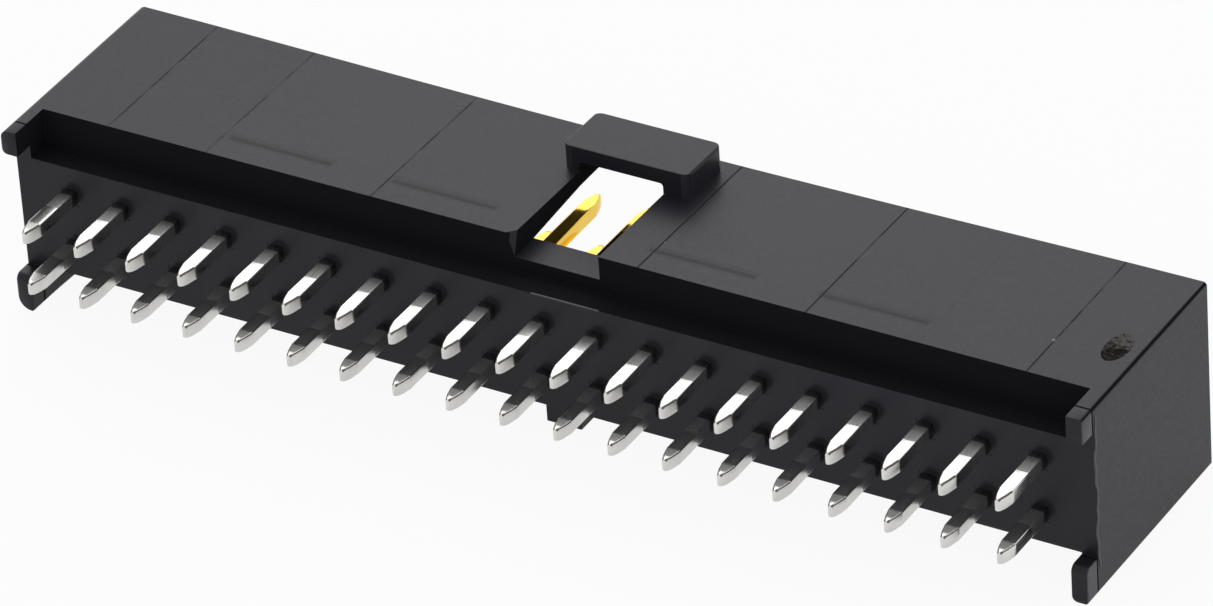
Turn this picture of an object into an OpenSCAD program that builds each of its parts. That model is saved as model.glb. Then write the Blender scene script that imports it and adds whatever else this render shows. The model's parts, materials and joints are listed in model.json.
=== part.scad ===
// Shrouded pin header strip: two rows of square posts in one moulded housing.
// X runs along the rows, Y is the mating direction and Z leaves the keyed long wall.
// The origin is the centre of the pin grid on the board plane, which the four feet touch.

/* [Contacts] */
// Distance between neighbouring pins, along and across the rows
pitch = 2.54; // [2:0.01:3]
// Number of pins in each of the two rows
columns = 19; // [3:2:25]
// Width of the square post
post_w = 0.64; // [0.5:0.01:0.8]
// Length of the solder tail below the board plane
tail_len = 2.65; // [2:0.05:4]
// Height of the mating tip above the board plane
mate_tip = 10.15; // [8:0.05:10.4]
// Width of the tip along the rows
tip_w = 0.14; // [0.08:0.01:0.4]
// Length of the coined bevels that narrow the tip along the rows
tip_len = 0.85; // [0.4:0.05:1.2]
// Thickness of the tip across the rows
tip_t = 0.48; // [0.3:0.01:0.5]
// Length of the coined bevels that thin the tip across the rows
tip_thin_len = 0.35; // [0.2:0.05:0.8]
// Height of the bulge at the middle of each coined bevel
tip_bulge = 0.03; // [0.01:0.01:0.05]

/* [Housing] */
// Distance from the last pin column to the end face
end_margin = 2.54; // [2.2:0.01:4]
// Width over both long walls
body_w = 8.9; // [8.3:0.1:12]
// Height of the rim above the board plane
rim_h = 10.85; // [10.5:0.05:14]
// Thickness of the long walls
wall_t = 1.1; // [0.8:0.05:1.4]
// Thickness of the end walls
end_t = 1.15; // [0.9:0.05:1.5]
// Radius of the outer corners at the end with the gate mark
corner_r = 0.18; // [0.05:0.01:0.3]
// Radius of the keyed wall's outer corner at the other end
corner_key_r = 0.35; // [0.1:0.05:0.6]
// Radius of the plain wall's outer corner at the other end
corner_plain_r = 0.6; // [0.1:0.05:0.7]
// Size of the lead-in chamfer inside the rim
rim_lead = 0.3; // [0.1:0.05:0.5]

/* [Floor] */
// Height of the cavity floor above the board plane
floor_top = 3.7; // [3.5:0.05:5]
// Height of the shoulder, where the long walls start, above the board plane
shoulder_h = 2.15; // [1.6:0.05:2.4]
// Gap between the board and the face that the tails leave
block_h = 0.95; // [0.5:0.05:1.3]
// Width of the block that holds both rows
block_w = 5.4; // [4.6:0.1:6]
// Width of the square pocket round each tail
pocket_w = 0.84; // [0.8:0.02:1.4]
// Depth of the square pocket round each tail
pocket_d = 0.12; // [0.08:0.02:0.5]

/* [Feet] */
// Thickness of the end cheeks and of their feet
cheek_t = 0.75; // [0.5:0.05:1]
// Width of the feet beside the keyed wall
foot_key_w = 1.15; // [0.8:0.05:1.5]
// Width of the feet beside the plain wall
foot_plain_w = 1.7; // [1:0.05:1.9]
// Radius of the inner corner of each foot
foot_r = 0.3; // [0.1:0.05:0.4]

/* [Vents in the plain wall] */
// Height of the top of the two vents above the board plane
vent_h = 3.3; // [2.6:0.05:3.4]
// Width of the rib that parts the two vents
rib_w = 1.65; // [1:0.05:3]

/* [Key] */
// Width of the key slot in the keyed wall
slot_w = 4.0; // [3:0.1:5]
// Sideways shift of the key slot from the middle of the strip
slot_shift = 0.2; // [0:0.05:0.3]
// Mean overlap of the bridge onto the wall at each side of the slot
bridge_lap = 1.0; // [0.8:0.05:1.5]
// Length of the bridge along the mating direction
bridge_l = 2.85; // [2:0.05:4]
// Distance of the bridge from the rim
bridge_set = 0.5; // [0.2:0.05:1]
// Height of the bridge above the keyed wall
bridge_rise = 1.2; // [0.9:0.05:1.6]
// Height of the slot's roof above the keyed wall
roof_rise = 0.5; // [0.2:0.05:0.6]
// Sideways shift of the bridge from the middle of the slot
bridge_shift = 0.25; // [0:0.05:0.5]
// Radius of the bridge's corners
bridge_r = 0.4; // [0.2:0.05:0.6]
// Radius of the slot's corners under the bridge
roof_r = 0.15; // [0.1:0.05:0.4]
// Radius of the bridge's upper long edges
bridge_edge_r = 0.12; // [0.05:0.01:0.2]
// Width of the facet at the slot's corner
facet_w = 0.35; // [0.2:0.05:0.6]

/* [Gate mark] */
// Width of the oval dimple left by the mould's gate, along the rows
gate_w = 1.1; // [0.8:0.1:1.6]
// Length of the dimple along the mating direction
gate_l = 2.1; // [1:0.1:2.5]
// Depth of the dimple
gate_depth = 0.13; // [0.05:0.01:0.2]
// Distance of the dimple's centre from the end face
gate_in = 1.1; // [0.9:0.05:2]
// Height of the dimple's centre above the board plane
gate_h = 5.2; // [4:0.1:8]

/* [Hidden] */
ROWS = ["a", "b"];
function pin_name(row, column) = str("pin_", ROWS[row], column < 9 ? "0" : "", column + 1);

body_l = (columns - 1) * pitch + 2 * end_margin;
half_l = body_l / 2;
half_w = body_w / 2;
bridge_w = slot_w + 2 * bridge_lap;
cavity_half_l = half_l - end_t;
cavity_half_w = half_w - wall_t;
span_half_l = half_l - cheek_t;
bridge_x = slot_shift + bridge_shift;
bridge_top = half_w + bridge_rise;
bridge_end = rim_h - bridge_set;
gate_sphere_r = (gate_w * gate_w / 4 + gate_depth * gate_depth) / (2 * gate_depth);
past = 1;
housing_colour = [0.13, 0.13, 0.14];
tin_colour = [0.78, 0.77, 0.74];

function pin_x(column) = (column - (columns - 1) / 2) * pitch;
function pin_z(row) = (row == 0 ? 1 : -1) * pitch / 2;

// A box between its lowest and its highest corner
module box_between(low, high) {
    translate(low) cube(high - low);
}

// Extrudes a drawing in X and Z along the mating direction
module raise(from, to) {
    translate([0, from, 0]) rotate([90, 0, 0]) mirror([0, 0, 1]) linear_extrude(to - from) children();
}

// Extrudes a drawing in the mating direction and Z along the rows, to both sides of the middle
module along_rows(length) {
    translate([-length / 2, 0, 0]) multmatrix([[0, 0, 1, 0], [1, 0, 0, 0], [0, 1, 0, 0], [0, 0, 0, 1]])
        linear_extrude(length) children();
}

// The outline seen along the mating direction, with its four rounded corners
module plan_outline() {
    difference() {
        square([body_l, body_w], center = true);
        for (corner = [[1, 1, corner_r], [1, -1, corner_r], [-1, 1, corner_key_r], [-1, -1, corner_plain_r]])
            translate([corner[0] * half_l, corner[1] * half_w]) difference() {
                square(2 * corner[2], center = true);
                translate([-corner[0], -corner[1]] * corner[2]) circle(corner[2], $fn = 32);
            }
    }
}

module rounded_rectangle(length, width, radius) {
    square([length - 2 * radius, width], center = true);
    square([length, width - 2 * radius], center = true);
    for (sx = [-1, 1], sy = [-1, 1])
        translate([sx * (length / 2 - radius), sy * (width / 2 - radius)]) circle(radius, $fn = 32);
}

// One side of a coined tip, from the tip's end back to the full post
function bevel(end, back, tip) = [
    [tip / 2, end],
    [(tip + post_w) / 4 + tip_bulge, end + back / 2],
    [post_w / 2, end + back]
];

// A post's outline in one plane, coined at both ends
module post_outline(tip, length) {
    upper = bevel(mate_tip, -length, tip);
    lower = bevel(-tail_len, length, tip);
    right = concat(upper, [lower[2], lower[1], lower[0]]);
    polygon(concat(right, [for (i = [len(right) - 1:-1:0]) [-right[i][0], right[i][1]]]));
}

// One square post, coined to a wedge at both tips
module pin(row, column) {
    color(tin_colour) translate([pin_x(column), 0, pin_z(row)]) intersection() {
        translate([0, 0, -post_w / 2]) linear_extrude(post_w) post_outline(tip_w, tip_len);
        translate([-post_w / 2, 0, 0]) rotate([0, 90, 0]) linear_extrude(post_w) post_outline(tip_t, tip_thin_len);
    }
}

// The outline of an end, in the mating direction and Z, with its two feet
module end_outline() {
    plain_foot = foot_plain_w - half_w;
    key_foot = half_w - foot_key_w;
    translate([block_h, -half_w]) square([rim_h - block_h, body_w]);
    translate([0, key_foot]) square([rim_h, foot_key_w]);
    // The plain wall's foot is rounded at its inner corner
    translate([foot_r, -half_w]) square([rim_h - foot_r, foot_plain_w]);
    translate([0, -half_w]) square([rim_h, foot_plain_w - foot_r]);
    translate([foot_r, plain_foot - foot_r]) circle(foot_r, $fn = 32);
}

// The outer form from the feet to the rim, with the space under the shoulder cut out
module shell() {
    difference() {
        intersection() {
            raise(-past, rim_h) plan_outline();
            along_rows(body_l + 2 * past) end_outline();
        }
        box_between([-span_half_l, -past, -half_w - past], [span_half_l, shoulder_h, half_w + past]);
        cavity();
    }
}

// The space that the mating plug enters, with a lead-in round its mouth
module cavity() {
    box_between([-cavity_half_l, floor_top, -cavity_half_w], [cavity_half_l, rim_h + past, cavity_half_w]);
    intersection() {
        along_rows(body_l) lead_in(cavity_half_w);
        translate([0, 0, -half_w]) linear_extrude(body_w) mirror([1, -1, 0]) lead_in(cavity_half_l);
    }
}

// One direction of the lead-in: it widens towards the rim and on past it
module lead_in(half_mouth) {
    wide = half_mouth + rim_lead + past;
    polygon([[rim_h - rim_lead, -half_mouth], [rim_h + past, -wide], [rim_h + past, wide], [rim_h - rim_lead, half_mouth]]);
}

// The block that carries both rows of pins
module pin_block() {
    box_between([-span_half_l, block_h, -block_w / 2], [span_half_l, shoulder_h, block_w / 2]);
}

// The bridge that closes the key slot near the rim
module bridge() {
    root = half_w - wall_t / 2;
    intersection() {
        translate([bridge_x, bridge_end - bridge_l / 2, root]) linear_extrude(bridge_top - root)
            rounded_rectangle(bridge_w, bridge_l, bridge_r);
        raise(bridge_end - bridge_l - past, bridge_end + past) translate([bridge_x, root])
            rounded_rectangle(bridge_w, 2 * (bridge_top - root), bridge_edge_r);
    }
}

// The slot through the keyed wall, with a round-cornered roof under the bridge
module key_slot() {
    roof = half_w + roof_rise;
    raise(shoulder_h - past, rim_h + past) translate([slot_shift, 0]) {
        translate([-slot_w / 2, cavity_half_w]) square([slot_w, roof - roof_r - cavity_half_w]);
        translate([-slot_w / 2 + roof_r, cavity_half_w]) square([slot_w - 2 * roof_r, roof - cavity_half_w]);
        for (side = [-1, 1])
            translate([side * (slot_w / 2 - roof_r), roof - roof_r]) circle(roof_r, $fn = 32);
    }
}

// A facet at the slot's first corner, which narrows to a point at the ledge
module slot_facet() {
    lean = atan(facet_w / sqrt(2) / wall_t);
    translate([slot_shift - slot_w / 2, shoulder_h, cavity_half_w]) rotate([0, 0, -45]) rotate([0, -lean, 0])
        translate([0, -past, 0]) cube([past, 2 * past, 2 * past]);
}

// Two vents under the plain wall, parted by a rib at the middle
module vents() {
    for (side = [-1, 1]) {
        inner = side * rib_w / 2;
        outer = side * span_half_l;
        box_between([min(inner, outer), shoulder_h - past, -half_w - past],
                    [max(inner, outer), vent_h, -cavity_half_w]);
    }
}

// Square holes that the posts are pressed into, each with a pocket at the tail side
module pin_seats() {
    for (row = [0, 1], column = [0:columns - 1])
        translate([pin_x(column), 0, pin_z(row)]) {
            raise(block_h - past, floor_top + past) square(post_w, center = true);
            raise(block_h - past, block_h + pocket_d) square(pocket_w, center = true);
        }
}

// The dimple that the mould's gate leaves near one end of the keyed wall
module gate_mark() {
    translate([half_l - gate_in, gate_h, half_w - gate_depth + gate_sphere_r])
        scale([1, gate_l / gate_w, 1]) rotate([90, 0, 0]) sphere(gate_sphere_r, $fn = 48);
}

// One glass-filled moulding: shell, floor, feet, key slot and bridge
module housing() {
    color(housing_colour) difference() {
        union() {
            shell();
            pin_block();
            bridge();
        }
        key_slot();
        slot_facet();
        vents();
        pin_seats();
        gate_mark();
    }
}

housing();
for (row = [0, 1], column = [0:columns - 1])
    pin(row, column);
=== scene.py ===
import json
import math

import bpy
from mathutils import Matrix, Vector

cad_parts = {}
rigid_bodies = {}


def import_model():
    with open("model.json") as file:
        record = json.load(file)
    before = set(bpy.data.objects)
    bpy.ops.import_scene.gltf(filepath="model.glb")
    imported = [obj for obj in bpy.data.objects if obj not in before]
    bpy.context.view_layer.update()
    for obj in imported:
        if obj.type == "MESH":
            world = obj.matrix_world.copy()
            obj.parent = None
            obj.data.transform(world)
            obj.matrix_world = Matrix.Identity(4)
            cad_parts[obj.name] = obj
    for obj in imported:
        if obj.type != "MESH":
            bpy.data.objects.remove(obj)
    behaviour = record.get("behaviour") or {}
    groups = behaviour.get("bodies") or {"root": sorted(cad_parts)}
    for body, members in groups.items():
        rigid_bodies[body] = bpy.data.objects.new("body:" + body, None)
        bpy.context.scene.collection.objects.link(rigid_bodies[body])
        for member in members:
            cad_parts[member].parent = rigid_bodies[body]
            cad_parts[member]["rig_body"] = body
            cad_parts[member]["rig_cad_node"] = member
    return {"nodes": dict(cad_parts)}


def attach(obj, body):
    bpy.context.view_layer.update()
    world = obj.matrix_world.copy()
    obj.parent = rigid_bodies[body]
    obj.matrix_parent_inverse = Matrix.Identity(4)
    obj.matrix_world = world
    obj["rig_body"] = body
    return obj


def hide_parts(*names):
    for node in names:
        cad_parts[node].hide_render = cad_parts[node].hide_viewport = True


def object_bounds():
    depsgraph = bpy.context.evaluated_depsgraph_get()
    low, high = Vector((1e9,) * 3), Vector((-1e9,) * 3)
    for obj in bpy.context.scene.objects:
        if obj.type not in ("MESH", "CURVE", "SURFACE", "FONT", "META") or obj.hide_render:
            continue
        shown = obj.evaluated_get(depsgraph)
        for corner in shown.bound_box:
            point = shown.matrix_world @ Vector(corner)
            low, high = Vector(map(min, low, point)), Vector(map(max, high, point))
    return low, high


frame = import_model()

cad_low, cad_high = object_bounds()
MM = 0.001

# The housing.
# One black glass-filled polyester moulding: walls, floor, feet, key slot and bridge.
# It is a copy of the CAD solid, merged and with its edges softened as a mould leaves them.
half_length = cad_high[0]
half_width = -cad_low[2]
rim_height = cad_high[1]
shoulder_height = 2.15 * MM
cavity_floor = 3.7 * MM
block_face = 0.95 * MM
block_top = 2.7 * MM
cheek = 0.75 * MM
pitch = 2.54 * MM
# A face or a corner this near to a plane counts as lying on it
tolerance = 0.02 * MM
near = 0.05 * MM


def linear_colour(text):
    """Turns a hex colour as seen on a screen into the linear one that the shader takes."""
    parts = [int(text[i:i + 2], 16) / 255 for i in (1, 3, 5)]
    return tuple(c / 12.92 if c <= 0.04045 else ((c + 0.055) / 1.055) ** 2.4 for c in parts) + (1.0,)


def add_node(tree, kind, sockets=None, **settings):
    """Adds one node. Each of its sockets takes another node's first output, an output or a value."""
    node = tree.nodes.new(kind)
    for name, value in settings.items():
        setattr(node, name, value)
    for name, value in (sockets or {}).items():
        if isinstance(value, bpy.types.Node):
            value = value.outputs[0]
        if isinstance(value, bpy.types.NodeSocket):
            tree.links.new(value, node.inputs[name])
        else:
            node.inputs[name].default_value = value
    return node


def start_material(name):
    """A new material, its tree and its shader, which is joined to the output."""
    material = bpy.data.materials.new(name)
    material.use_nodes = True
    tree = material.node_tree
    tree.nodes.clear()
    shader = add_node(tree, "ShaderNodeBsdfPrincipled")
    add_node(tree, "ShaderNodeOutputMaterial", {"Surface": shader})
    return material, tree, shader


def soft_band(tree, value, middle, reach, fade):
    """One where value lies within reach of middle, falling smoothly to nothing over fade."""
    offset = add_node(tree, "ShaderNodeMath", {0: value, 1: middle}, operation="SUBTRACT")
    distance = add_node(tree, "ShaderNodeMath", {0: offset}, operation="ABSOLUTE")
    return add_node(tree, "ShaderNodeMapRange", {
        "Value": distance, "From Min": reach, "From Max": reach + fade, "To Min": 1.0, "To Max": 0.0},
        interpolation_type="SMOOTHSTEP")


def lay_tone(tree, base, mask, share, tone):
    """The base colour with a tone laid over it, to this share where mask is one."""
    cover = add_node(tree, "ShaderNodeMath", {0: mask, 1: share}, operation="MULTIPLY")
    return add_node(tree, "ShaderNodeMix", {
        0: cover, 6: base, 7: linear_colour(tone)}, data_type="RGBA").outputs[2]


# Glass-filled thermoplastic, moulded: a fine even matt skin with a broad soft gloss, a little cloudy in
# tone, with the hairlines of the mould's inserts, sink marks and a few chips. Painted shade lies beside the
# posts and in the sink marks, and a painted sheen on the feet's ends.
moulding, tree, shader = start_material("moulded_glass_filled_thermoplastic")
place = add_node(tree, "ShaderNodeTexCoord").outputs["Object"]
across, along, up = add_node(tree, "ShaderNodeSeparateXYZ", {0: place}).outputs

# Each of the mould's inserts leaves its own slight tone on the keyed wall, from left to right
insert_joints_mm = (-21.4, -16.6, -8.6, 4.05, 11.8, 16.95, 21.8)
insert_tones = ("#222127", "#25242b", "#2a292f", "#27262d", "#292830", "#26252e", "#28272d", "#25242b")
position = add_node(tree, "ShaderNodeMapRange", {
    "Value": across, "From Min": -half_length, "From Max": half_length})
tones = add_node(tree, "ShaderNodeValToRGB", {0: position})
tones.color_ramp.interpolation = "CONSTANT"
tones.color_ramp.elements[0].color = linear_colour(insert_tones[0])
tones.color_ramp.elements.remove(tones.color_ramp.elements[1])
for joint, tone in zip(insert_joints_mm, insert_tones[1:]):
    stop = tones.color_ramp.elements.new((joint * MM + half_length) / (2 * half_length))
    stop.color = linear_colour(tone)

# Clouds of a darker tone
cloud_size = 5 * MM
cloud_share = 0.35
cloud = add_node(tree, "ShaderNodeTexNoise", {
    "Vector": place, "Scale": 1 / cloud_size, "Detail": 3.0, "Roughness": 0.55})
base = lay_tone(tree, tones, cloud, cloud_share, "#18181c")

# The ends of the feet are painted paler, a painted sheen for their drafted faces catching more light
foot_line = 0.83 * MM
foot_sheen_share = 0.9
below_line = add_node(tree, "ShaderNodeMath", {0: along, 1: foot_line}, operation="LESS_THAN")
from_middle = add_node(tree, "ShaderNodeMath", {0: across}, operation="ABSOLUTE")
at_end = add_node(tree, "ShaderNodeMath", {0: from_middle, 1: half_length - near}, operation="GREATER_THAN")
on_foot_end = add_node(tree, "ShaderNodeMath", {0: below_line, 1: at_end}, operation="MULTIPLY")
base = lay_tone(tree, base, on_foot_end, foot_sheen_share, "#56555b")

# Small chips on the keyed wall: their x and y, their radius and their tone
chips_mm = ((21.75, 4.6, 0.07, "#a09c98"), (4.1, 4.3, 0.06, "#96908c"), (-18.0, 10.2, 0.10, "#0c0c0e"),
            (16.7, 9.8, 0.06, "#8c8a88"))
chip_share = 0.8
for chip_x, chip_y, chip_radius, chip_tone in chips_mm:
    to_chip = add_node(tree, "ShaderNodeVectorMath", {
        0: place, 1: (chip_x * MM, chip_y * MM, half_width)}, operation="DISTANCE").outputs["Value"]
    chip = soft_band(tree, to_chip, 0.0, 0.5 * chip_radius * MM, chip_radius * MM)
    base = lay_tone(tree, base, chip, chip_share, chip_tone)

# Beside every post the block is darkened with painted shade, for the shadow and dark reflection of the post
# on it.
# The shade's middle lies to the side of the post's axis and above it
shade_middle = (0.25 * MM, 0.30 * MM, 0)
shade_reach = 0.30 * MM
shade_share = 0.6
shade_depth = 0.2 * MM
in_column = add_node(tree, "ShaderNodeMath", {0: across, 1: pitch / 2, 2: -pitch / 2}, operation="WRAP")
from_row = add_node(tree, "ShaderNodeMath", {0: up, 1: pitch / 2}, operation="SUBTRACT")
in_row = add_node(tree, "ShaderNodeMath", {0: from_row, 1: pitch / 2, 2: -pitch / 2}, operation="WRAP")
from_post = add_node(tree, "ShaderNodeCombineXYZ", {0: in_column, 1: in_row})
to_shade = add_node(tree, "ShaderNodeVectorMath", {
    0: from_post, 1: shade_middle}, operation="DISTANCE").outputs["Value"]
shade = soft_band(tree, to_shade, 0.0, shade_reach, shade_reach)
height_from_axis = add_node(tree, "ShaderNodeMath", {0: up}, operation="ABSOLUTE")
for measure, limit in ((height_from_axis, block_top), (along, block_face + shade_depth),
                       (from_middle, half_length - pitch / 2)):
    on_block = add_node(tree, "ShaderNodeMath", {0: measure, 1: limit}, operation="LESS_THAN")
    shade = add_node(tree, "ShaderNodeMath", {0: shade, 1: on_block}, operation="MULTIPLY")
base = lay_tone(tree, base, shade, shade_share, "#0a0a0d")

# A dark hairline stands where two inserts met. It fades a little and comes back along its length
bow_depth = 0.23 * MM
joint_strengths = (0.85, 0.75, 0.90, 1.0, 0.95, 0.15, 0.95)
joint_half_width = 0.03 * MM
joint_fade = 0.02 * MM
joint_share = 0.95
break_size = 1.2 * MM
keyed_face = soft_band(tree, up, half_width, bow_depth + near, tolerance)
clumps = add_node(tree, "ShaderNodeTexNoise", {"Vector": place, "Scale": 1 / break_size, "Detail": 1.0})
breaks = add_node(tree, "ShaderNodeMapRange", {
    "Value": clumps, "From Min": 0.36, "From Max": 0.52, "To Min": 0.68, "To Max": 1.0})
joints = 0.0
for joint, strength in zip(insert_joints_mm, joint_strengths):
    line = soft_band(tree, across, joint * MM, joint_half_width, joint_fade)
    line = add_node(tree, "ShaderNodeMath", {0: line, 1: strength}, operation="MULTIPLY")
    joints = add_node(tree, "ShaderNodeMath", {0: joints, 1: line}, operation="MAXIMUM")
for limit in (breaks, keyed_face):
    joints = add_node(tree, "ShaderNodeMath", {0: joints, 1: limit}, operation="MULTIPLY")

# Four long shallow sink marks lie on the keyed wall, two on each side of sink_middle. They are dented in
# relief and also painted dark, as painted shade in the dents
sink_height = 3.55 * MM
sink_fade = 0.55 * MM
sink_middle = 0.2 * MM
sink_places = (6.1 * MM, 14.0 * MM)
sink_half_length = 2.4 * MM
sink_end_fade = 0.35 * MM
sink_shade_share = 0.64
offset = add_node(tree, "ShaderNodeMath", {0: across, 1: sink_middle}, operation="SUBTRACT")
sideways = add_node(tree, "ShaderNodeMath", {0: offset}, operation="ABSOLUTE")
sinks = 0.0
for sink in sink_places:
    one_length = soft_band(tree, sideways, sink, sink_half_length, sink_end_fade)
    sinks = add_node(tree, "ShaderNodeMath", {0: sinks, 1: one_length}, operation="MAXIMUM")
for limit in (soft_band(tree, along, sink_height, 0.0, sink_fade), keyed_face):
    sinks = add_node(tree, "ShaderNodeMath", {0: sinks, 1: limit}, operation="MULTIPLY")
dark_joints_and_sink_shade = 0.0
for mark, share in ((joints, joint_share), (sinks, sink_shade_share)):
    mark = add_node(tree, "ShaderNodeMath", {0: mark, 1: share}, operation="MULTIPLY")
    dark_joints_and_sink_shade = add_node(tree, "ShaderNodeMath", {0: dark_joints_and_sink_shade, 1: mark}, operation="MAXIMUM")
# The dark hairlines of the joints, and painted shade in the sink marks
base = lay_tone(tree, base, dark_joints_and_sink_shade, 1.0, "#050506")

# The grain and the marks in relief, and a gloss that the marks and the shade take away
grain_size = 0.14 * MM
grain_relief = 0.25
relief_depth = 0.02 * MM
marked_roughness = 0.8
shaded_roughness = 0.75
# Most of a noise's values lie between these two
noise_low, noise_high = 0.3, 0.7
grain = add_node(tree, "ShaderNodeTexNoise", {
    "Vector": place, "Scale": 1 / grain_size, "Detail": 3.0, "Roughness": 0.6})
height = add_node(tree, "ShaderNodeMath", {0: grain, 1: grain_relief}, operation="MULTIPLY")
for mark in (joints, sinks):
    height = add_node(tree, "ShaderNodeMath", {0: height, 1: mark}, operation="SUBTRACT")
relief = add_node(tree, "ShaderNodeBump", {"Height": height, "Distance": relief_depth, "Strength": 0.5})
gloss = add_node(tree, "ShaderNodeMapRange", {
    "Value": grain, "From Min": noise_low, "From Max": noise_high, "To Min": 0.34, "To Max": 0.44})
for mark, roughness in ((dark_joints_and_sink_shade, marked_roughness), (shade, shaded_roughness)):
    dulled = add_node(tree, "ShaderNodeMath", {0: mark, 1: roughness}, operation="MULTIPLY")
    gloss = add_node(tree, "ShaderNodeMath", {0: gloss, 1: dulled}, operation="MAXIMUM")
tree.links.new(base, shader.inputs["Base Color"])
tree.links.new(gloss.outputs[0], shader.inputs["Roughness"])
tree.links.new(relief.outputs[0], shader.inputs["Normal"])
shader.inputs["IOR"].default_value = 1.55
shader.inputs["Specular IOR Level"].default_value = 0.2

# Painted shade: a near-black plastic that hardly reflects, laid where shade falls above the block; the same
# plastic draws the dark lines on one long edge and across the feet
shade_and_dark_lines, tree, shader = start_material("painted_shade_and_dark_lines")
shader.inputs["Base Color"].default_value = linear_colour("#1d1d21")
shader.inputs["Roughness"].default_value = 1.0
shader.inputs["Specular IOR Level"].default_value = 0.03

# Inside the gate dimple the plastic is torn: brown black at its core, with grey crumbs that
# grow paler towards the rim
gate_place = (half_length - 1.1 * MM, 5.2 * MM)
gate_half_length = 1.05 * MM
gate_core = (gate_place[0] + 0.14 * MM, gate_place[1] - 0.12 * MM, half_width)
gate_core_radius = 0.18 * MM
gate_core_fade = 0.16 * MM
gate_core_depth = 0.25
crumb_size = 0.22 * MM
crumb_relief = 0.1 * MM
torn, tree, shader = start_material("torn_gate_plastic")
place = add_node(tree, "ShaderNodeTexCoord").outputs["Object"]
along = add_node(tree, "ShaderNodeSeparateXYZ", {0: place}).outputs["Y"]
crumbs = add_node(tree, "ShaderNodeTexNoise", {
    "Vector": place, "Scale": 1 / crumb_size, "Detail": 4.0, "Roughness": 0.7})
toward_rim = add_node(tree, "ShaderNodeMapRange", {
    "Value": along, "From Min": gate_place[1] - 0.5 * gate_half_length,
    "From Max": gate_place[1] + 0.8 * gate_half_length, "To Min": -0.12, "To Max": 0.14})
to_core = add_node(tree, "ShaderNodeVectorMath", {
    0: place, 1: gate_core}, operation="DISTANCE").outputs["Value"]
core = soft_band(tree, to_core, 0.0, gate_core_radius, gate_core_fade)
core = add_node(tree, "ShaderNodeMath", {0: core, 1: gate_core_depth}, operation="MULTIPLY")
crumb_mix = add_node(tree, "ShaderNodeMath", {0: crumbs, 1: toward_rim}, operation="ADD")
crumb_mix = add_node(tree, "ShaderNodeMath", {0: crumb_mix, 1: core}, operation="SUBTRACT")
crumb_tone = add_node(tree, "ShaderNodeValToRGB", {0: crumb_mix})
crumb_tone.color_ramp.elements.new(0.62)
for stop, (position, tone) in enumerate(((0.36, "#0c0a09"), (0.50, "#39342f"), (0.62, "#605e5c"))):
    crumb_tone.color_ramp.elements[stop].position = position
    crumb_tone.color_ramp.elements[stop].color = linear_colour(tone)
ragged = add_node(tree, "ShaderNodeBump", {"Height": crumbs, "Distance": crumb_relief, "Strength": 0.8})
tree.links.new(crumb_tone.outputs[0], shader.inputs["Base Color"])
tree.links.new(ragged.outputs[0], shader.inputs["Normal"])
shader.inputs["Roughness"].default_value = 0.8
shader.inputs["Specular IOR Level"].default_value = 0.08


def select_only(piece):
    """Leaves one object selected and active."""
    bpy.ops.object.select_all(action="DESELECT")
    piece.select_set(True)
    bpy.context.view_layer.objects.active = piece


def copy_of_solid(node, name):
    """A copy of a CAD solid, merged and with its coplanar faces joined, for the dressed piece."""
    piece = node.copy()
    piece.data = node.data.copy()
    piece.name = name
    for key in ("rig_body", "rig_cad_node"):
        if key in piece:
            del piece[key]
    piece.parent = None
    bpy.context.scene.collection.objects.link(piece)
    piece.data.materials.clear()
    select_only(piece)
    bpy.ops.object.mode_set(mode="EDIT")
    bpy.ops.mesh.select_all(action="SELECT")
    bpy.ops.mesh.remove_doubles(threshold=0.0005 * MM)
    bpy.ops.mesh.dissolve_limited(angle_limit=math.radians(1), use_dissolve_boundaries=False)
    bpy.ops.object.mode_set(mode="OBJECT")
    return piece


def soften(piece, width, segments, angle):
    """Bevels the edges that are sharper than angle, in degrees."""
    rounding = piece.modifiers.new("rounding", "BEVEL")
    rounding.width = width
    rounding.segments = segments
    rounding.limit_method = "ANGLE"
    rounding.angle_limit = math.radians(angle)
    bpy.ops.object.modifier_apply(modifier=rounding.name)


def cut_through(place, normal, snap=0.1 * MM):
    """Cuts new edges into the active piece along a plane. Corners within snap count as on it."""
    bpy.ops.object.mode_set(mode="EDIT")
    bpy.ops.mesh.select_all(action="SELECT")
    bpy.ops.mesh.bisect(plane_co=place, plane_no=normal, threshold=snap)
    bpy.ops.object.mode_set(mode="OBJECT")


# The moulded piece itself. Three edges of its feet are rounder than the rest: each has its x, its
# z and its radius, and it ends where the plain wall begins
foot_root = 3.3 * MM
key_foot_width = 1.15 * MM
round_edges = ((-half_length, half_width - key_foot_width, 0.25 * MM),
               (-half_length + cheek, -half_width, 0.14 * MM), (half_length - cheek, -half_width, 0.26 * MM))
mould_edge = 0.045 * MM
housing = copy_of_solid(frame["nodes"]["housing"], "moulded_housing")
for edge_x, edge_z, edge_radius in round_edges:
    bpy.ops.object.mode_set(mode="EDIT")
    bpy.ops.mesh.select_mode(type="EDGE")
    bpy.ops.mesh.select_all(action="DESELECT")
    bpy.ops.object.mode_set(mode="OBJECT")
    for edge in housing.data.edges:
        ends = [housing.data.vertices[i].co for i in edge.vertices]
        edge.select = all(abs(end.x - edge_x) < tolerance and abs(end.z - edge_z) < tolerance
                          and end.y < foot_root + tolerance for end in ends)
    bpy.ops.object.mode_set(mode="EDIT")
    bpy.ops.mesh.bevel(offset=edge_radius, segments=5, affect="EDGES")
    bpy.ops.object.mode_set(mode="OBJECT")
soften(housing, mould_edge, 2, 35)

# The pockets round the tails were pressed nearly flat, to a fifth of their depth
pocket_depth = 0.12 * MM
pocket_left = 0.2
pocket_half_span = 2 * MM
for corner in housing.data.vertices:
    depth = corner.co.y - block_face
    if 0 < depth < pocket_depth + 0.005 * MM and abs(corner.co.z) < pocket_half_span:
        corner.co.y = block_face + pocket_left * depth

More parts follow.
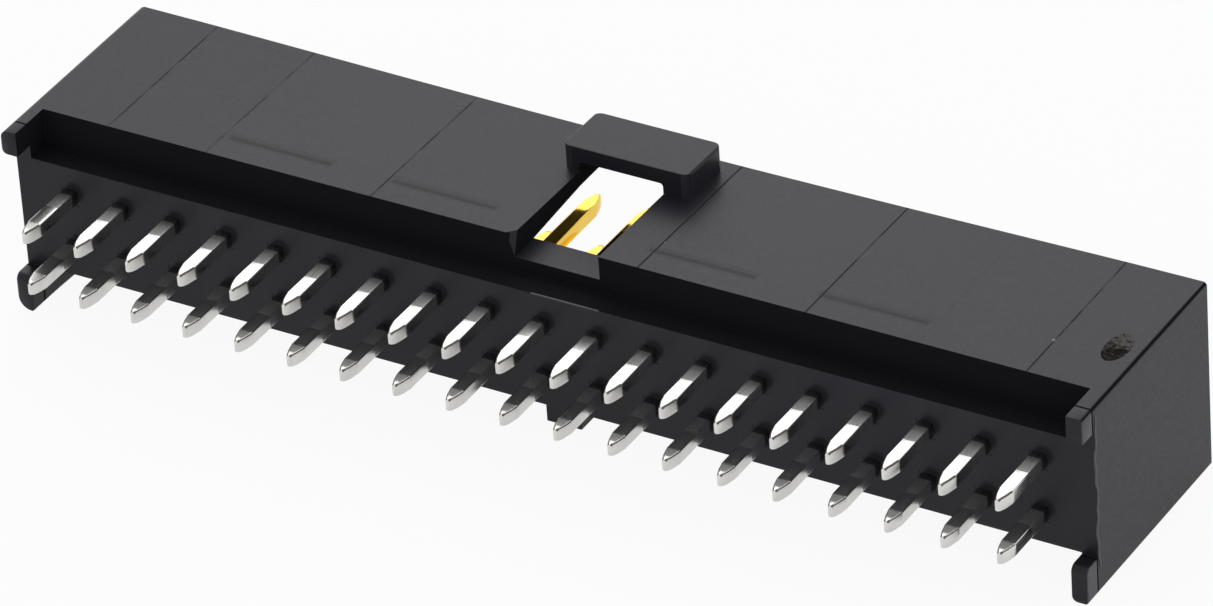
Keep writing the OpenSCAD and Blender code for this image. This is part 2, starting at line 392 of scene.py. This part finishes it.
# A line runs across each foot, where two inserts met
foot_line_width = 0.11 * MM
fine_snap = 0.0001 * MM
for cut in (foot_line - foot_line_width / 2, foot_line + foot_line_width / 2):
    cut_through((0, cut, 0), (0, 1, 0), fine_snap)

# The keyed wall warped inwards as it cooled: nothing at its foot and ends, most at mid rim. Its
# inner face leans out beside the slot. It is cut into strips first, so that it can take the curve
bow_half_span = 24.25 * MM
bow_steps = 24
bow_power = 1.5
draft_depth = 0.3 * MM
draft_end = 7.6 * MM
draft_power = 8
keyed_wall_from = 3.0 * MM
keyed_skin_from = 3.9 * MM
for step in range(1, bow_steps):
    cut_through((bow_half_span * (2 * step / bow_steps - 1), 0, 0), (1, 0, 0))
cut_through((0, draft_end, 0), (0, 1, 0), fine_snap)
for corner in housing.data.vertices:
    reach = 1 - (corner.co.x / bow_half_span) ** 2
    if reach > 0 and corner.co.z > keyed_wall_from and corner.co.y > cavity_floor:
        lean = (corner.co.y - cavity_floor) / (rim_height - cavity_floor)
        if corner.co.z > keyed_skin_from:
            corner.co.z -= bow_depth * reach ** bow_power * lean
        else:
            slope = min(1.0, (corner.co.y - cavity_floor) / (draft_end - cavity_floor))
            corner.co.z += draft_depth * slope * reach ** draft_power
weighted = housing.modifiers.new("even_faces", "WEIGHTED_NORMAL")
bpy.ops.object.shade_smooth_by_angle(angle=math.radians(30))
weighted.keep_sharp = True
weighted.weight = 80
bpy.ops.object.modifier_apply(modifier=weighted.name)

# Painted shade lies over the block, beside it and on the slot's side, the same near-black plastic draws the
# dark lines on one long edge and on the foot lines, and the torn plastic lies in the gate dimple
slot_side = -1.8 * MM
slot_bottom = 3.3 * MM
edge_strip = 0.2 * MM
gate_half_width = 0.55 * MM
gate_depth_limit = 0.2 * MM
gate_skin = 0.003 * MM
skins = (moulding, shade_and_dark_lines, torn)
for skin in skins:
    housing.data.materials.append(skin)
for face in housing.data.polygons:
    middle, facing = face.center, face.normal
    inside = abs(middle.x) < half_length - cheek - near
    below_shoulder = middle.y < shoulder_height
    on_ledge = (facing.y < -0.5 and abs(middle.y - shoulder_height) < near
                and middle.z > block_top + tolerance and inside)
    least = 0.42 if middle.y > foot_line else 0.55
    on_edge = middle.x > half_length - edge_strip and facing.x > least and facing.z > least
    on_foot_line = (abs(middle.y - foot_line) < foot_line_width / 2 and not inside
                    and (facing.z > 0.5 or abs(facing.x) > 0.5))
    on_block_top = facing.z > 0.9 and abs(middle.z - block_top) < 0.03 * MM and below_shoulder
    on_cheek = (abs(facing.x) > 0.9 and abs(abs(middle.x) - half_length + cheek) < near
                and middle.z > block_top and below_shoulder)
    on_slot_side = facing.x > 0.9 and abs(middle.x - slot_side) < near and middle.z > slot_bottom
    in_gate = (half_width - gate_depth_limit < middle.z < half_width - gate_skin
               and abs(middle.x - gate_place[0]) < gate_half_width
               and abs(middle.y - gate_place[1]) < gate_half_length)
    if on_ledge or on_edge or on_foot_line or on_block_top or on_cheek or on_slot_side:
        face.material_index = skins.index(shade_and_dark_lines)
    elif in_gate:
        face.material_index = skins.index(torn)
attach(housing, "root")
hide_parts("housing")

# The flash and a painted highlight.
# A thin wavy crest of plastic that the closed mould lets out along the front edge of one end, painted pale
# as a painted highlight, and a short straight pale bar on the block's edge, which is only a painted
# highlight. Both ride with the moulding.
pale_bar_edge = 0.015 * MM
# The two waves of a crest: their height as a share, their turn for each millimetre, their start
crest_waves = ((0.3, 1.9, 1.4), (0.2, 5.3, 0.0))
crest_lift = 0.05
# Pale plastic, a painted highlight
painted_highlight, tree, shader = start_material("painted_highlight_plastic")
shader.inputs["Base Color"].default_value = linear_colour("#5e5d62")
shader.inputs["Roughness"].default_value = 0.5
shader.inputs["Specular IOR Level"].default_value = 0.2


def add_pale_bar(name, low, high, steps, wave):
    """A bar from its lowest to its highest corner, cut into steps along Z and waved in Y."""
    bpy.ops.object.select_all(action="DESELECT")
    bpy.ops.mesh.primitive_cube_add(size=1.0)
    pale_bar = bpy.context.object
    pale_bar.name = name
    pale_bar.scale = [b - a for a, b in zip(low, high)]
    pale_bar.location = [(a + b) / 2 for a, b in zip(low, high)]
    bpy.ops.object.transform_apply(location=True, rotation=True, scale=True)
    for step in range(1, steps):
        cut_through((0, 0, low[2] + (high[2] - low[2]) * step / steps), (0, 0, 1))
    for corner in pale_bar.data.vertices:
        crest = crest_lift + sum(share * math.sin(turn * corner.co.z / MM + start)
                                 for share, turn, start in crest_waves)
        corner.co.y += wave * crest
    soften(pale_bar, pale_bar_edge, 2, 50)
    bpy.ops.object.shade_smooth_by_angle(angle=math.radians(60))
    pale_bar.data.materials.append(painted_highlight)
    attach(pale_bar, "root")


add_pale_bar("flash_right", (half_length - 0.03 * MM, 0.94 * MM, -3.2 * MM),
          (half_length + 0.03 * MM, 1.05 * MM, 4.05 * MM), 48, 0.16 * MM)
# A painted highlight along the block's edge, where light comes through the slot
add_pale_bar("painted_highlight_bar", (-0.4 * MM, block_face - 0.02 * MM, block_top - 0.03 * MM),
          (2.8 * MM, block_face + 0.05 * MM, block_top + 0.02 * MM), 1, 0.0)

# The pins.
# Square posts of drawn copper alloy wire, pressed through the floor of the housing.
# Each is coined to a blunt tip at both ends, bright tin on the board side and gold inside.
columns = 19
drawn_edge = 0.075 * MM
tail_tip = cad_low[1]
coined_length = 0.85 * MM
coined_roughness = 0.12
plating_change = 2.2 * MM
plating_fade = 0.2 * MM
# The faces of a post lean in from these two heights to its tips, in their shading only
fall_start = -0.45 * MM
rise_start = 4.5 * MM
fall = 0.085
# The tin is darkened with painted shade where it leaves the block, and duller along the stretch beside it
root_shade_reach = 0.32 * MM
root_shade_fade = 0.04 * MM
root_shade_share = 0.75
dull_middle = 0.35 * MM
dull_reach = 0.75 * MM
dull_roughness = 0.10
gold_polish = 0.10
# Drawing marks run along the wire: 0.05 mm across it and twenty times as long
streak_size = 0.05 * MM
streak_stretch = 20
streak_relief = 0.00003 * MM
patch_size = 0.8 * MM


def plate(name, slope):
    """Tin on the tail and gold inside, on faces that lean in with this slope to both tips."""
    material, tree, shader = start_material(name)
    place = add_node(tree, "ShaderNodeTexCoord").outputs["Object"]
    along = add_node(tree, "ShaderNodeSeparateXYZ", {0: place}).outputs["Y"]
    stretched = add_node(tree, "ShaderNodeMapping", {
        "Vector": place, "Scale": (1.0, 1 / streak_stretch, 1.0)})
    streaks = add_node(tree, "ShaderNodeTexNoise", {
        "Vector": stretched, "Scale": 1 / streak_size, "Detail": 2.0, "Roughness": 0.5})
    patches = add_node(tree, "ShaderNodeTexNoise", {
        "Vector": place, "Scale": 1 / patch_size, "Detail": 2.0, "Roughness": 0.5})
    tin = lay_tone(tree, linear_colour("#eae9e6"), patches, 1.0, "#d2d1cf")
    gold = lay_tone(tree, linear_colour("#f7d766"), patches, 1.0, "#eec04c")
    root_shade = soft_band(tree, along, block_face, root_shade_reach, root_shade_fade)
    tin = lay_tone(tree, tin, root_shade, root_shade_share, "#4c4c52")
    gilt = add_node(tree, "ShaderNodeMapRange", {
        "Value": along, "From Min": plating_change, "From Max": plating_change + plating_fade})
    finish = add_node(tree, "ShaderNodeMix", {0: gilt, 6: tin, 7: gold}, data_type="RGBA").outputs[2]
    coined = soft_band(tree, along, tail_tip, coined_length - 0.1 * MM, 0.2 * MM)
    duller = soft_band(tree, along, dull_middle, dull_reach, 0.1 * MM)
    polish = add_node(tree, "ShaderNodeMapRange", {
        "Value": streaks, "From Min": noise_low, "From Max": noise_high, "To Min": 0.17, "To Max": 0.21})
    for stretch, roughness in ((coined, coined_roughness), (duller, dull_roughness), (gilt, -gold_polish)):
        change = add_node(tree, "ShaderNodeMath", {0: stretch, 1: roughness}, operation="MULTIPLY")
        polish = add_node(tree, "ShaderNodeMath", {0: polish, 1: change}, operation="ADD")
    height = add_node(tree, "ShaderNodeMath", {0: streaks, 1: streak_relief}, operation="MULTIPLY")
    for start, side in ((fall_start, "MINIMUM"), (rise_start, "MAXIMUM")):
        past = add_node(tree, "ShaderNodeMath", {0: along, 1: start}, operation="SUBTRACT")
        past = add_node(tree, "ShaderNodeMath", {0: past, 1: 0.0}, operation=side)
        lean = add_node(tree, "ShaderNodeMath", {0: past, 1: slope}, operation="MULTIPLY")
        height = add_node(tree, "ShaderNodeMath", {0: height, 1: lean}, operation="ADD")
    drawn = add_node(tree, "ShaderNodeBump", {"Height": height, "Distance": 1.0, "Strength": 1.0})
    tree.links.new(finish, shader.inputs["Base Color"])
    tree.links.new(polish.outputs[0], shader.inputs["Roughness"])
    tree.links.new(drawn.outputs[0], shader.inputs["Normal"])
    shader.inputs["Metallic"].default_value = 1.0
    return material


plating = plate("tin_and_gold_plate_on_drawn_wire", fall)
level_plating = plate("tin_plate_on_level_faces", 0.0)

# The edges that the coining left between the bevels are rough, and painted grey as a painted dark reflection
dark_edge_reflection, tree, shader = start_material("painted_dark_edge_reflection")
shader.inputs["Base Color"].default_value = linear_colour("#6b6a62")
shader.inputs["Roughness"].default_value = 0.45
shader.inputs["Metallic"].default_value = 1.0

# One post is finished on the axis and every post is a copy of it, moved to its place.
# The upper faces in the row beside the plain wall lie level, so they have the plate without lean
post_skins = (plating, dark_edge_reflection, level_plating)
finished = copy_of_solid(frame["nodes"]["pin_a10"], "finished_post")
finished.data.transform(Matrix.Translation((0, 0, -pitch / 2)))
soften(finished, drawn_edge, 2, 12)
bpy.ops.object.shade_smooth()
weighted = finished.modifiers.new("even_faces", "WEIGHTED_NORMAL")
weighted.weight = 100
bpy.ops.object.modifier_apply(modifier=weighted.name)
finished.data.materials.append(plating)
finished.data.materials.append(dark_edge_reflection)
for face in finished.data.polygons:
    middle, facing = face.center, face.normal
    if middle.y < tail_tip + coined_length and facing.z > 0.25 and abs(facing.x) > 0.25:
        face.material_index = post_skins.index(dark_edge_reflection)
for row, side in (("a", 1), ("b", -1)):
    for column in range(columns):
        post = finished.copy()
        post.data = finished.data.copy()
        post.data.transform(Matrix.Translation(((column - (columns - 1) / 2) * pitch, 0, side * pitch / 2)))
        post.name = "post_%s%02d" % (row, column + 1)
        if row == "b":
            post.data.materials.append(level_plating)
            for face in post.data.polygons:
                if face.normal.z > 0.9:
                    face.material_index = post_skins.index(level_plating)
        bpy.context.scene.collection.objects.link(post)
        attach(post, "root")
        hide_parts("pin_%s%02d" % (row, column + 1))
bpy.data.objects.remove(finished)

# The studio.
# A pale painted table just under the strip, a white room round it, and one broad lamp behind
# and above. The camera and the metal see table and room as nearly white.
table_gap = 0.02 * MM
table_size = 4.0
table_white = 0.93
mirrored_share = 0.8
lamp_place = Vector((-0.26, 0.41, 0.50))
lamp_target = Vector((0, 0.004, 0))
lamp_size = 0.70
lamp_power = 1.9


def seen_share(tree):
    """One where the camera looks, less in a reflection, and nothing for the light that is given."""
    path = add_node(tree, "ShaderNodeLightPath").outputs
    direct = add_node(tree, "ShaderNodeMath", {
        0: path["Is Camera Ray"], 1: path["Is Transmission Ray"]}, operation="MAXIMUM")
    mirrored = add_node(tree, "ShaderNodeMath", {
        0: path["Is Glossy Ray"], 1: mirrored_share}, operation="MULTIPLY")
    return add_node(tree, "ShaderNodeMath", {0: direct, 1: mirrored}, operation="MAXIMUM")


bpy.ops.object.select_all(action="DESELECT")
bpy.ops.mesh.primitive_plane_add(size=table_size, location=(0, 0, cad_low[2] - table_gap))
table = bpy.context.object
table.name = "table"
paint, tree, shader = start_material("white_table_paint")
shader.inputs["Base Color"].default_value = linear_colour("#f2f2f0")
shader.inputs["Roughness"].default_value = 0.8
glow = add_node(tree, "ShaderNodeEmission", {"Color": (1, 1, 1, 1), "Strength": 1.0})
seen = add_node(tree, "ShaderNodeMath", {0: seen_share(tree), 1: table_white}, operation="MULTIPLY")
veil = add_node(tree, "ShaderNodeMixShader", {0: seen, 1: shader, 2: glow})
tree.links.new(veil.outputs[0], tree.nodes["Material Output"].inputs[0])
table.data.materials.append(paint)

world = bpy.data.worlds.new("white_room")
bpy.context.scene.world = world
world.use_nodes = True
tree = world.node_tree
tree.nodes.clear()
surround = add_node(tree, "ShaderNodeBackground", {"Color": (0.97, 0.97, 1.0, 1), "Strength": 0.55})
backdrop = add_node(tree, "ShaderNodeBackground", {"Color": (1, 1, 1, 1), "Strength": 1.0})
mixed = add_node(tree, "ShaderNodeMixShader", {0: seen_share(tree), 1: surround, 2: backdrop})
add_node(tree, "ShaderNodeOutputWorld", {0: mixed})

bpy.ops.object.light_add(type="AREA", location=lamp_place)
lamp = bpy.context.object
lamp.name = "back_lamp"
lamp.data.shape = "SQUARE"
lamp.data.size = lamp_size
lamp.data.energy = lamp_power
lamp.rotation_euler = (lamp_target - lamp_place).to_track_quat("-Z", "Y").to_euler()

# The camera, fitted to the photograph
camera_place = Vector((166.74, -259.32, 206.21)) * MM
camera_forward = Vector((-0.44395, 0.70656, -0.55107))
camera_up = Vector((-0.23307, 0.50276, 0.83241))
focal_pixels = 9106.0
image_width = 1213
sensor_width = 36.0
bpy.ops.object.camera_add(location=camera_place)
camera = bpy.context.object
camera.name = "camera"
back = -camera_forward.normalized()
side = camera_up.cross(back).normalized()
camera.rotation_euler = Matrix((side, back.cross(side), back)).transposed().to_euler()
camera.data.sensor_width = sensor_width
camera.data.lens = sensor_width * focal_pixels / image_width
camera.data.clip_start = 0.01
camera.data.clip_end = 20.0
bpy.context.scene.camera = camera
bpy.context.scene.view_settings.view_transform = "Standard"
